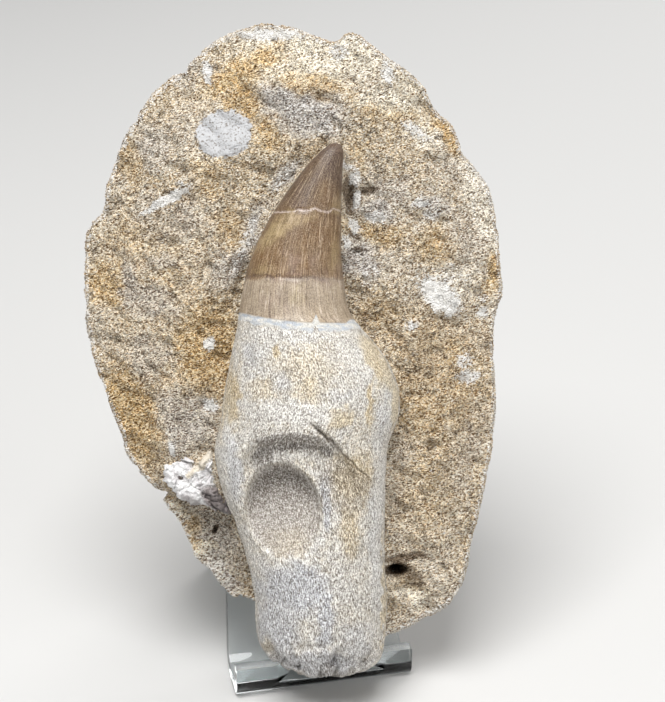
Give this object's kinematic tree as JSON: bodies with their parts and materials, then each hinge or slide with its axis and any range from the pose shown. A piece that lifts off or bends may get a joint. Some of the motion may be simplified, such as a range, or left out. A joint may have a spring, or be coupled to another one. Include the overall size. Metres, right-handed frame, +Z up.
{
  "type": "fossil mosasaur tooth on its rock with an easel",
  "caption": "Curved brown fossil reptile crown on a stout pale root with an oval pit, half set in an oval slab of sandy rock that leans on a clear bent easel.",
  "frame": {"origin": "on the table, under the centre of the whole object's bounding box", "axes": "+Z up; -Y is the side the face of the slab looks to, leaning back; +X to the right seen from the front"},
  "size_m": [0.11, 0.0904, 0.1609],
  "materials": {
    "rock": "rough granular phosphatic sandstone, ochre and grey with white chalky patches",
    "tooth": "brown satin enamel crown, cream and grey fibrous matte root",
    "bone": "matte, chalky",
    "acrylic": "gloss, clear"
  },
  "bodies": {
    "root": {"matrix_slab": "rock", "tooth": "tooth", "bone_scrap": "bone", "easel": "acrylic"}
  },
  "joints": []
}
